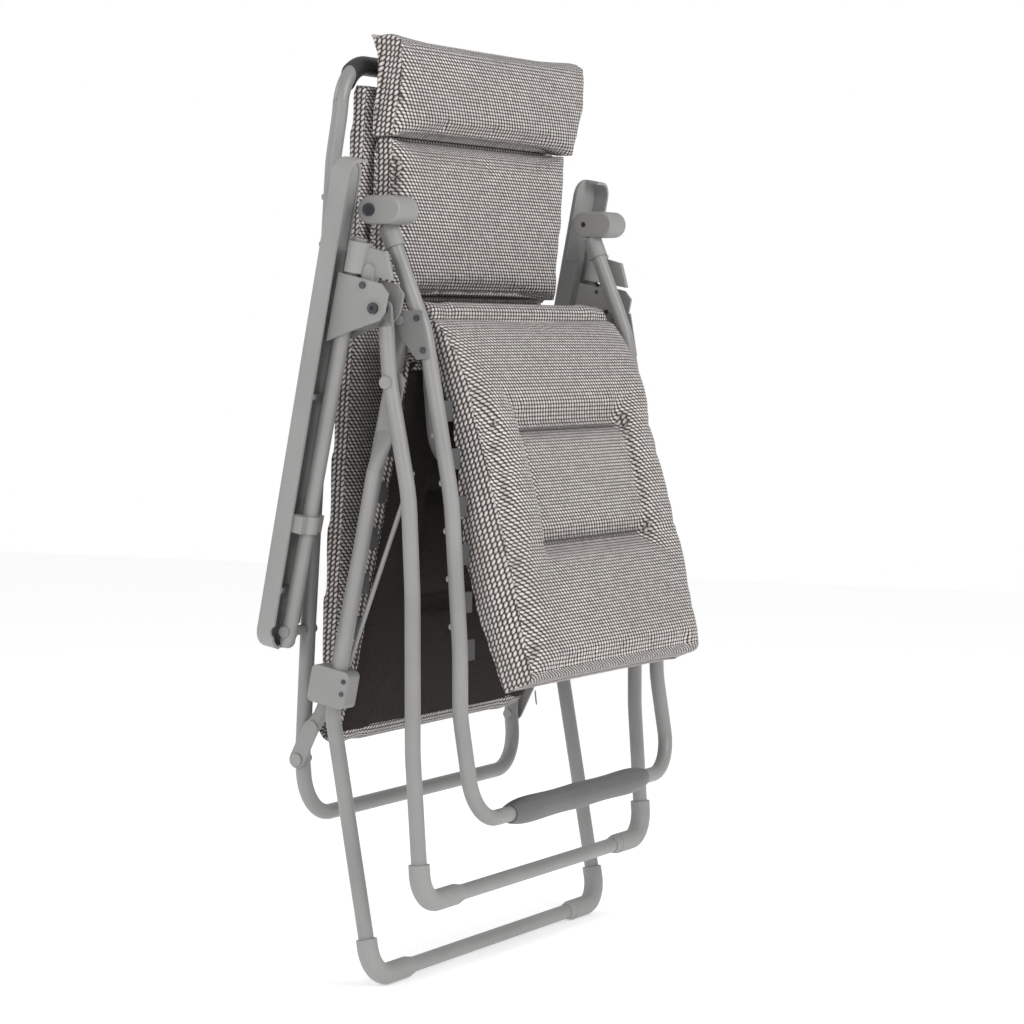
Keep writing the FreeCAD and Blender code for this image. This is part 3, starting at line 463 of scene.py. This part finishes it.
# ---------- pads ----------
class Pad:
    """One stuffed piece: the CAD solid it fills, which way it runs and faces, and how far it may swell."""

    def __init__(self, node, low, high, face, swell, rear, channels=(), under=False, fill=0.6, side=0.006):
        self.node = node
        self.along = np.array([0.0, high[0] - low[0], high[1] - low[1]])
        self.length = np.linalg.norm(self.along)
        self.along /= self.length
        self.low = np.array([0.0, *low])
        self.out = np.cross([1.0, 0.0, 0.0], self.along)
        if self.out[1] * face < 0:
            self.out = -self.out
        self.swell = swell
        self.rear = rear
        self.channels = channels
        self.under = under
        self.fill = fill
        self.side = side

    def places(self, where):
        """Across, along and out from the pad's own line."""
        local = where - self.low
        return where[:, 0], local @ self.along, local @ self.out


PADS = {
    "legrest_cushion": Pad("legrest_pad", (-0.1737, 0.392), (-0.025, 0.840), -1, 0.017, 0.004,
                           ((0.175, 0.138), (0.322, 0.138)), True, 0.7),
    "seat_cushion": Pad("seat_pad", (0.097, 0.385), (-0.005, 0.844), 1, 0.006, 0.003,
                        ((0.10, 0.14), (0.24, 0.14), (0.36, 0.14)), True, 0.6),
    "back_cushion": Pad("back_pad", (0.139, 0.4495), (0.099, 1.046), -1, 0.006, 0.003,
                        ((0.08, 0.14), (0.22, 0.14), (0.36, 0.14)), True, 0.6),
    "head_cushion_cover": Pad("head_cushion", (0.058, 1.078), (0.040, 1.200), -1, 0.013, 0.0, (), False, 0.8, 0.009),
    "lumbar_cushion_cover": Pad("lumbar_cushion", (0.062, 0.872), (0.054, 1.074), -1, 0.014, 0.0, (), False, 0.8,
                                0.009),
}


def channel_pull(pad, where):
    """How strongly each point is held by the sewn channels, 0 to 1.

    Pull = exp(-(distance to the channel's line / width)^2), the line being straight and of limited length."""
    _, stuffing = settings()
    x, t, _ = pad.places(where)
    pull = np.zeros(len(where))
    for height, half in pad.channels:
        away = np.hypot(np.maximum(np.abs(x) - half, 0.0), t - height)
        pull = np.maximum(pull, np.exp(-(away / (stuffing.tuft_wide * 0.5)) ** 2))
    return pull


def cloth_start(pad, name):
    """The CAD solid remeshed into even cloth squares, drawn in a little and softened."""
    _, stuffing = settings()
    piece = shown(name, frame["nodes"][pad.node].data.copy())
    weld = piece.modifiers.new("Weld", "WELD")
    weld.merge_threshold = 0.0001
    baked(piece)
    remesh = piece.modifiers.new("Squares", "REMESH")
    remesh.mode = "VOXEL"
    remesh.voxel_size = stuffing.voxel
    mesh = baked(piece)
    normals = numbers(mesh.vertices, "normal", 3)
    put_spots(mesh, spots(mesh) - normals * 0.004)
    soften = piece.modifiers.new("Soften", "SMOOTH")
    soften.factor = 0.5
    soften.iterations = 7
    baked(piece)
    return piece


def swollen(pad, piece):
    """The cloth after its filling has pushed it out, each point moved no further than the pad allows.

    Front points may move by swell, rear points by rear and edges by side; the held channels stay."""
    _, stuffing = settings()
    mesh = piece.data
    start = spots(mesh)
    normals = numbers(mesh.vertices, "normal", 3)
    front = np.clip(normals @ pad.out, -1, 1)
    room = np.where(front > 0, pad.side + (pad.swell - pad.side) * front, pad.side + (pad.rear - pad.side) * -front)
    pull = channel_pull(pad, start)
    held = piece.vertex_groups.new(name="held")
    for level in (0.25, 0.5, 1.0):
        chosen = np.nonzero(pull > level * 0.6)[0]
        held.add(chosen.tolist(), level, "REPLACE")
    cloth = piece.modifiers.new("Filling", "CLOTH")
    cloth.settings.use_pressure = True
    cloth.settings.uniform_pressure_force = stuffing.pressure
    cloth.settings.effector_weights.gravity = 0.0
    cloth.settings.quality = 4
    cloth.settings.vertex_group_mass = "held"
    for step in range(1, stuffing.frames + 1):
        bpy.context.scene.frame_set(step)
    moved = spots(baked(piece))
    piece.vertex_groups.clear()
    bpy.context.scene.frame_set(1)
    move = moved - start
    far = np.linalg.norm(move, axis=1)
    limit = room * np.tanh(far / np.maximum(room, 1e-6))
    move *= (limit / np.maximum(far, 1e-9))[:, None]
    depth = stuffing.tuft * np.where(front > 0, front, 0.35 * front)
    where = fitted(pad, start + move - pad.out * (pull * depth)[:, None])
    put_spots(piece.data, where + puckers(pad, where, front))
    return piece


def fitted(pad, where):
    """Stretches the swollen cloth along and across so that it fills the length and width it was cut for."""
    solid = spots(frame["nodes"][pad.node].data)
    x, t, _ = pad.places(solid)
    x1, t1, n1 = pad.places(where)
    wide = np.abs(x).max() / np.abs(x1).max()
    tall = (t.max() - t.min()) / (t1.max() - t1.min())
    t2 = t.min() + (t1 - t1.min()) * tall
    return pad.low + np.outer(t2, pad.along) + np.outer(n1, pad.out) + np.outer(x1 * wide, [1.0, 0.0, 0.0])


def puckers(pad, where, front):
    """Creases that fan out of the ends of the channels, and slack ripples near the edges.

    Ripple = height * sin(angle around the channel's end * 9) * exp(-distance / 35 mm)."""
    x, t, _ = pad.places(where)
    rise = np.zeros(len(where))
    for height, half in pad.channels:
        for end in (-half, half):
            away = np.hypot(x - end, t - height)
            turn = np.arctan2(t - height, x - end)
            rise += 0.0016 * np.sin(turn * 7) * np.exp(-away / 0.035) * np.clip(away / 0.012, 0, 1)
        near = np.exp(-np.abs(t - height) / 0.018) * np.clip(1.2 - np.abs(x) / half, 0, 1)
        rise += 0.0009 * np.sin(x * 2 * math.pi / 0.021) * near
    edge = 1 - np.clip((np.abs(x).max() - np.abs(x)) / 0.03, 0, 1)
    rise += 0.0004 * edge * np.sin(t * 2 * math.pi / 0.034 + 3 * x)
    return pad.out * (rise * np.clip(front, 0, 1))[:, None]


def profile_way(pad, where):
    """Distance round the pad's profile: points are wrapped on a flat stadium of the pad's length and thickness."""
    _, t, n = pad.places(where)
    low, high = t.min(), t.max()
    middle = (n.max() + n.min()) / 2
    inner = np.clip(t, low + 0.014, high - 0.014)
    turn = np.arctan2(t - inner, n - middle)
    return inner + np.where(np.abs(t - inner) > 1e-6, turn * 0.016, 0.0)


def weave_lines(pad, piece):
    """Gives the cloth its weave: metres across and along each panel, which panel a face is in, and how near
    the sewn edges it is. Faces and wraps use x and the way round the profile; side bands use depth and length."""
    mesh = piece.data
    where = spots(mesh)
    corner = np.empty(len(mesh.loops), dtype=np.int64)
    mesh.loops.foreach_get("vertex_index", corner)
    total = np.empty(len(mesh.polygons), dtype=np.int64)
    mesh.polygons.foreach_get("loop_total", total)
    normal = numbers(mesh.polygons, "normal", 3)
    x, t, n = pad.places(where)
    way = profile_way(pad, where)
    side = np.abs(normal[:, 0]) > 0.72
    band = np.repeat(side, total)
    weave = np.stack([np.where(band, n[corner], x[corner]), np.where(band, t[corner], way[corner]),
                      band.astype(float)], -1)
    store = mesh.attributes.new("weave", "FLOAT_VECTOR", "CORNER")
    store.data.foreach_set("vector", weave.astype(np.float32).ravel())
    # The seam value is painted shade along the face edges, the channel lines and the channel hollows, and also pulls
    # the bump in there.
    lean = np.abs(numbers(mesh.vertices, "normal", 3)[:, 0])
    seam = np.exp(-((lean - 0.72) / 0.10) ** 2) * 0.55
    pull = channel_pull(pad, where)
    line = np.zeros(len(where))
    for height, half in pad.channels:
        away = np.hypot(np.maximum(np.abs(x) - half, 0.0), t - height)
        line = np.maximum(line, np.exp(-(away / 0.0032) ** 2))
    seam = np.maximum(seam, np.maximum(line, 0.22 * pull))
    store = mesh.attributes.new("seam", "FLOAT", "POINT")
    store.data.foreach_set("value", seam.astype(np.float32))
    behind = (normal @ pad.out < -0.45) & ~side & pad.under
    mesh.polygons.foreach_set("material_index", behind.astype(np.int32))
    mesh.polygons.foreach_set("use_smooth", np.ones(len(mesh.polygons), dtype=bool))


def stuffed(name, body):
    """A pad: its cloth is cut from the CAD solid, swollen, divided once, and woven."""
    pad = PADS[name]
    piece = swollen(pad, cloth_start(pad, name))
    fine = piece.modifiers.new("Finer", "SUBSURF")
    fine.levels = 1
    fine.render_levels = 1
    baked(piece)
    piece.data.materials.clear()
    piece.data.materials.append(bpy.data.materials[LOOK + "woven_cover"])
    piece.data.materials.append(bpy.data.materials[LOOK + "mesh_cover"])
    weave_lines(pad, piece)
    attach(piece, body)
    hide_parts(pad.node)
    return piece


def curved(marks, count):
    """Smooth line through side-plane marks (depth, height): a Catmull-Rom curve, that is on each stretch
    the cubic that meets both its ends with slopes of half the step between the neighbouring marks."""
    marks = np.asarray(marks)
    ends = np.concatenate([2 * marks[:1] - marks[1:2], marks, 2 * marks[-1:] - marks[-2:-1]])
    share = np.linspace(0, len(marks) - 1, count)
    k = np.minimum(share.astype(int), len(marks) - 2)
    s = (share - k)[:, None]
    a, b, c, d = (ends[k + i] for i in range(4))
    line = 0.5 * (2 * b + (c - a) * s + (2 * a - 5 * b + 4 * c - d) * s ** 2 + (3 * b - a - 3 * c + d) * s ** 3)
    return np.column_stack([np.zeros(count), line])


def bend_cover(name, marks, slot):
    """Padded bend of the cover that crosses a hinge between two pads.

    Its section is a flattened ring, across = half * |cos|^0.16, thickness = 5.5 mm * |sin|^0.5, carried along the
    bend and drawn in by soft cross pleats of 1.2 mm."""
    half = 0.246
    turn = np.linspace(0, 2 * math.pi, 97)[:-1]
    across = half * np.sign(np.cos(turn)) * np.abs(np.cos(turn)) ** 0.16
    depth = 0.0055 * np.sign(np.sin(turn)) * np.abs(np.sin(turn)) ** 0.5
    depth = depth * (1 + 0.2 * np.sin(across * 2 * math.pi / 0.061))
    path = curved(marks, 41)
    points = carried(path, np.stack([across, depth], -1))
    way = np.concatenate([[0.0], np.cumsum(np.linalg.norm(np.diff(path, axis=0), axis=1))])
    faces = grid(41, 96, ring=True).tolist()
    caps = [list(range(95, -1, -1)), list(range(40 * 96, 41 * 96))]
    mesh = bpy.data.meshes.new(name)
    mesh.from_pydata(points.reshape(-1, 3).tolist(), [], faces + caps)
    mesh.update()
    piece = shown(name, mesh)
    work = bmesh.new()
    work.from_mesh(mesh)
    bmesh.ops.recalc_face_normals(work, faces=work.faces)
    work.to_mesh(mesh)
    work.free()
    corner = np.empty(len(mesh.loops), dtype=np.int64)
    mesh.loops.foreach_get("vertex_index", corner)
    flat = np.stack([np.tile(across, 41), np.repeat(way, 96), np.zeros(41 * 96)], -1)
    store = mesh.attributes.new("weave", "FLOAT_VECTOR", "CORNER")
    store.data.foreach_set("vector", flat[corner].astype(np.float32).ravel())
    # The seam value here paints shade along the bend's two side edges and pulls the bump in there.
    store = mesh.attributes.new("seam", "FLOAT", "POINT")
    edge = np.exp(-((half - np.abs(np.tile(across, 41))) / 0.006) ** 2) * 0.6
    store.data.foreach_set("value", edge.astype(np.float32))
    mesh.polygons.foreach_set("use_smooth", np.ones(len(mesh.polygons), dtype=bool))
    mesh.materials.append(bpy.data.materials[LOOK + slot])
    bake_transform(piece)
    return piece


# ---------- small sewn parts ----------
def nearest(piece, wanted, out):
    """For each wanted point, the outermost cloth point within 7 mm of it, seen along out."""
    where = spots(piece.data)
    flat = lambda p: p - np.outer(p @ out, out)
    gap = np.linalg.norm(flat(where)[None] - flat(wanted)[:, None], axis=2)
    height = np.where(gap < 0.007, (where @ out)[None], -9.0)
    best = height.argmax(1)
    lift = where[best] @ out
    return flat(wanted) + np.outer(lift, out)


def stitches(name, cushion, body):
    """Thread of the sewn channels: a row of short raised loops, each half a ring of thread standing in the hollow.

    A stitch is an arc: along = 2.2 mm * cos(turn), up = 1.1 mm * sin(turn), with a round thread carried on it."""
    pad = PADS[cushion]
    pitch = 0.0062
    rings = []
    turn = np.linspace(0.15, math.pi - 0.15, 5)
    thread = np.linspace(0, 2 * math.pi, 5)[:-1]
    section = 0.0006 * np.stack([np.cos(thread), np.sin(thread)], -1)
    faces = []
    count = 0
    for height, half in pad.channels:
        x = np.arange(-half, half + 1e-6, pitch)
        base = pad.low + pad.along * height + x[:, None] * np.array([1.0, 0, 0])
        base = nearest(bpy.data.objects[cushion], base, pad.out)
        arc = np.stack([-0.0022 * np.cos(turn), np.zeros(5), 0.0011 * np.sin(turn)], -1)
        line = arc[:, :1] * np.array([1.0, 0, 0]) + arc[:, 2:] * pad.out
        loop = carried(line, section, pad.along)
        rings.append((base[:, None, None] + loop[None]).reshape(-1, 3))
        one = grid(5, 4, ring=True)
        many = one[None] + (np.arange(len(x)) * 20)[:, None, None] + count
        faces.append(many.reshape(-1, 4))
        count += len(x) * 20
    piece = surface(name, np.concatenate(rings), np.concatenate(faces))
    piece.data.materials.append(bpy.data.materials[LOOK + "sewing_thread"])
    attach(piece, body)
    return piece


def sewing_thread():
    """Waxed dark thread with its twist."""
    shade = Shade("sewing_thread")
    spot = shade.place()
    twist = shade.node("ShaderNodeTexWave", {"wave_type": "BANDS", "bands_direction": "DIAGONAL"},
                       {"Vector": spot, "Scale": 900.0, "Distortion": 1.0}, out=1)
    tint = shade.blend(twist, (0.05, 0.04, 0.036), (0.15, 0.13, 0.12))
    shade.set(Base_Color=tint, Roughness=0.6 + 0.1 * twist, Normal=shade.bump(twist, 0.0001, 0.6))
    return shade.material


def zip_pull():
    """Pull tab of the legrest cover's zip: a rounded flat tab hanging down under the cushion.

    The tab's half width is 3.4 mm * sqrt(1 - share^6) along its length and its thickness is even."""
    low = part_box("legrest_pad")[0]
    hang = np.array([low[0] + 0.055, low[1] + 0.026, low[2] + 0.004])
    share = np.linspace(-1, 1, 17)
    wide = 0.0034 * np.sqrt(np.clip(1 - share ** 6, 0.02, 1))
    path = hang + np.stack([0.002 * share, np.zeros(17), -0.010 * (share + 1)], -1)
    around = np.linspace(0, 2 * math.pi, 13)[:-1]
    ring = np.stack([np.cos(around) * 1.0, np.sin(around) * 0.28], -1)
    points = path[:, None] + (ring[None, :, :1] * np.array([0.88, 0.48, 0])
                              + ring[None, :, 1:] * np.array([-0.48, 0.88, 0])) * wide[:, None, None]
    faces = grid(17, 12, ring=True)
    caps = [list(range(11, -1, -1)), list(range(16 * 12, 17 * 12))]
    mesh = bpy.data.meshes.new("zip_pull")
    mesh.from_pydata(points.reshape(-1, 3).tolist(), [], faces.tolist() + caps)
    mesh.update()
    piece = shown("zip_pull", mesh)
    piece.data.materials.append(bpy.data.materials[LOOK + "dark_bolt"])
    fine = piece.modifiers.new("Finer", "SUBSURF")
    fine.levels = 1
    fine.render_levels = 1
    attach(piece, "legrest")
    return piece


# ---------- operators ----------
class RECLINER_OT_finishes(bpy.types.Operator):
    """Gives every frame part and fitting its paint, plastic or plating"""

    bl_idname = "recliner.finishes"
    bl_label = "Frame finishes"

    def execute(self, context):
        cover, _ = settings()
        made = finishes()
        made["woven_cover"] = woven_cover("woven_cover", cover.knot)
        made["mesh_cover"] = mesh_cover("mesh_cover")
        sewing_thread()
        for part in frame["record"]["subparts"]:
            piece = frame["nodes"][part["node"]]
            for place in piece.material_slots:
                place.material = made[part["material_slot"]]
        return {"FINISHED"}


class RECLINER_OT_legrest(bpy.types.Operator):
    """Makes the stuffed legrest cushion with its two sewn channels, and the zip pull under it"""

    bl_idname = "recliner.legrest"
    bl_label = "Legrest cushion"

    def execute(self, context):
        stuffed("legrest_cushion", "legrest")
        stitches("legrest_stitches", "legrest_cushion", "legrest")
        zip_pull()
        return {"FINISHED"}


class RECLINER_OT_seat(bpy.types.Operator):
    """Makes the stuffed seat cushion, woven on top and mesh underneath"""

    bl_idname = "recliner.seat"
    bl_label = "Seat cushion"

    def execute(self, context):
        stuffed("seat_cushion", "seat")
        stitches("seat_stitches", "seat_cushion", "seat")
        return {"FINISHED"}


class RECLINER_OT_back(bpy.types.Operator):
    """Makes the stuffed back cushion between the tubes of the back frame"""

    bl_idname = "recliner.back"
    bl_label = "Back cushion"

    def execute(self, context):
        stuffed("back_cushion", "back")
        stitches("back_stitches", "back_cushion", "back")
        return {"FINISHED"}


class RECLINER_OT_bends(bpy.types.Operator):
    """Makes the padded bends of the cover over the knee bar and under the hip"""

    bl_idname = "recliner.bends"
    bl_label = "Cover bends"

    def execute(self, context):
        bend_cover("knee_bend", ((0.006, 0.780), (0.010, 0.815), (0.009, 0.848), (-0.003, 0.861), (-0.017, 0.855),
                                 (-0.024, 0.836)),
                   "woven_cover")
        bend_cover("hip_bend", ((0.112, 0.334), (0.116, 0.311), (0.131, 0.303), (0.143, 0.317), (0.140, 0.345),
                                (0.135, 0.382)),
                   "woven_cover")
        return {"FINISHED"}


class RECLINER_OT_head(bpy.types.Operator):
    """Makes the crowned head cushion and the lumbar cushion below it"""

    bl_idname = "recliner.head"
    bl_label = "Head and lumbar cushions"

    def execute(self, context):
        stuffed("head_cushion_cover", "back")
        stuffed("lumbar_cushion_cover", "back")
        return {"FINISHED"}


def area_light(name, where, towards, size, power):
    data = bpy.data.lights.new(name, "AREA")
    data.shape = "SQUARE"
    data.size = size
    data.energy = power
    light = shown(name, data)
    light.location = where
    light.rotation_mode = "QUATERNION"
    light.rotation_quaternion = (Vector(towards) - Vector(where)).to_track_quat("-Z", "Y")
    return light


class RECLINER_OT_stage(bpy.types.Operator):
    """Makes the pale floor, the soft lights and the camera"""

    bl_idname = "recliner.stage"
    bl_label = "Stage"

    def execute(self, context):
        stage = context.scene.recliner_stage
        half = 6.0
        x, y = np.meshgrid(np.linspace(-half, half, 25), np.linspace(-half, half, 25))
        floor = surface("floor", np.stack([x, y, np.full_like(x, CAD_BOX[0][2] - 0.0005)], -1), grid(25, 25))
        shade = Shade("floor_paint")
        cloud = shade.noise(shade.place(), 1.5, 2.0)
        shade.set(Base_Color=shade.blend(cloud, tinted(stage.floor, 0.985), stage.floor), Roughness=0.65,
                  Emission_Color=(1.0, 1.0, 1.0, 1.0), Emission_Strength=0.34)
        floor.data.materials.append(shade.material)
        world = bpy.data.worlds.new("studio")
        world.use_nodes = True
        tree = world.node_tree
        seen = tree.nodes.new("ShaderNodeLightPath")
        level = tree.nodes.new("ShaderNodeMapRange")
        level.inputs["To Min"].default_value = 0.66
        level.inputs["To Max"].default_value = 1.0
        tree.links.new(seen.outputs["Is Camera Ray"], level.inputs["Value"])
        tree.links.new(level.outputs[0], tree.nodes["Background"].inputs["Strength"])
        tree.nodes["Background"].inputs["Color"].default_value = (1.0, 1.0, 1.0, 1.0)
        context.scene.world = world
        area_light("key_light", (-0.6, -3.0, 2.4), (0, 0, 0.6), 1.4, 52.0)
        area_light("fill_light", (-3.2, -0.2, 1.6), (0, 0, 0.6), 1.2, 24.0)
        area_light("rim_light", (-1.0, 2.6, 2.4), (0, 0, 0.8), 1.2, 16.0)
        camera = bpy.data.cameras.new("camera")
        camera.lens = stage.lens
        camera.sensor_width = 36.0
        camera.clip_end = 60.0
        eye = shown("camera", camera)
        eye.location = stage.eye
        look = Vector((math.sin(stage.turn) * math.cos(stage.dip), math.cos(stage.turn) * math.cos(stage.dip),
                       -math.sin(stage.dip)))
        eye.rotation_mode = "QUATERNION"
        eye.rotation_quaternion = look.to_track_quat("-Z", "Y")
        context.scene.camera = eye
        context.scene.view_settings.view_transform = "Standard"
        return {"FINISHED"}


class RECLINER_PT_panel(bpy.types.Panel):
    """Lists the settings and the pieces"""

    bl_label = "Recliner"
    bl_idname = "RECLINER_PT_panel"
    bl_space_type = "VIEW_3D"
    bl_region_type = "UI"
    bl_category = "Recliner"

    def draw(self, context):
        scene = context.scene
        for group in (scene.recliner_cover, scene.recliner_pads, scene.recliner_frame, scene.recliner_stage):
            box = self.layout.box()
            for key in group.__annotations__:
                box.prop(group, key)
        for maker in MAKERS:
            self.layout.operator(maker.bl_idname)


GROUPS = {
    "recliner_cover": CoverSettings,
    "recliner_pads": PadSettings,
    "recliner_frame": FrameSettings,
    "recliner_stage": StageSettings,
}
MAKERS = (RECLINER_OT_stage, RECLINER_OT_finishes, RECLINER_OT_legrest, RECLINER_OT_seat, RECLINER_OT_back,
          RECLINER_OT_head, RECLINER_OT_bends)


def register():
    for kind in (*GROUPS.values(), *MAKERS, RECLINER_PT_panel):
        bpy.utils.register_class(kind)
    for name, kind in GROUPS.items():
        setattr(bpy.types.Scene, name, PointerProperty(type=kind))


def unregister():
    for name in GROUPS:
        delattr(bpy.types.Scene, name)
    for kind in reversed((*GROUPS.values(), *MAKERS, RECLINER_PT_panel)):
        bpy.utils.unregister_class(kind)


def main():
    register()
    for maker in MAKERS:
        group, name = maker.bl_idname.split(".")
        getattr(getattr(bpy.ops, group), name)()


if __name__ == "__main__":
    main()
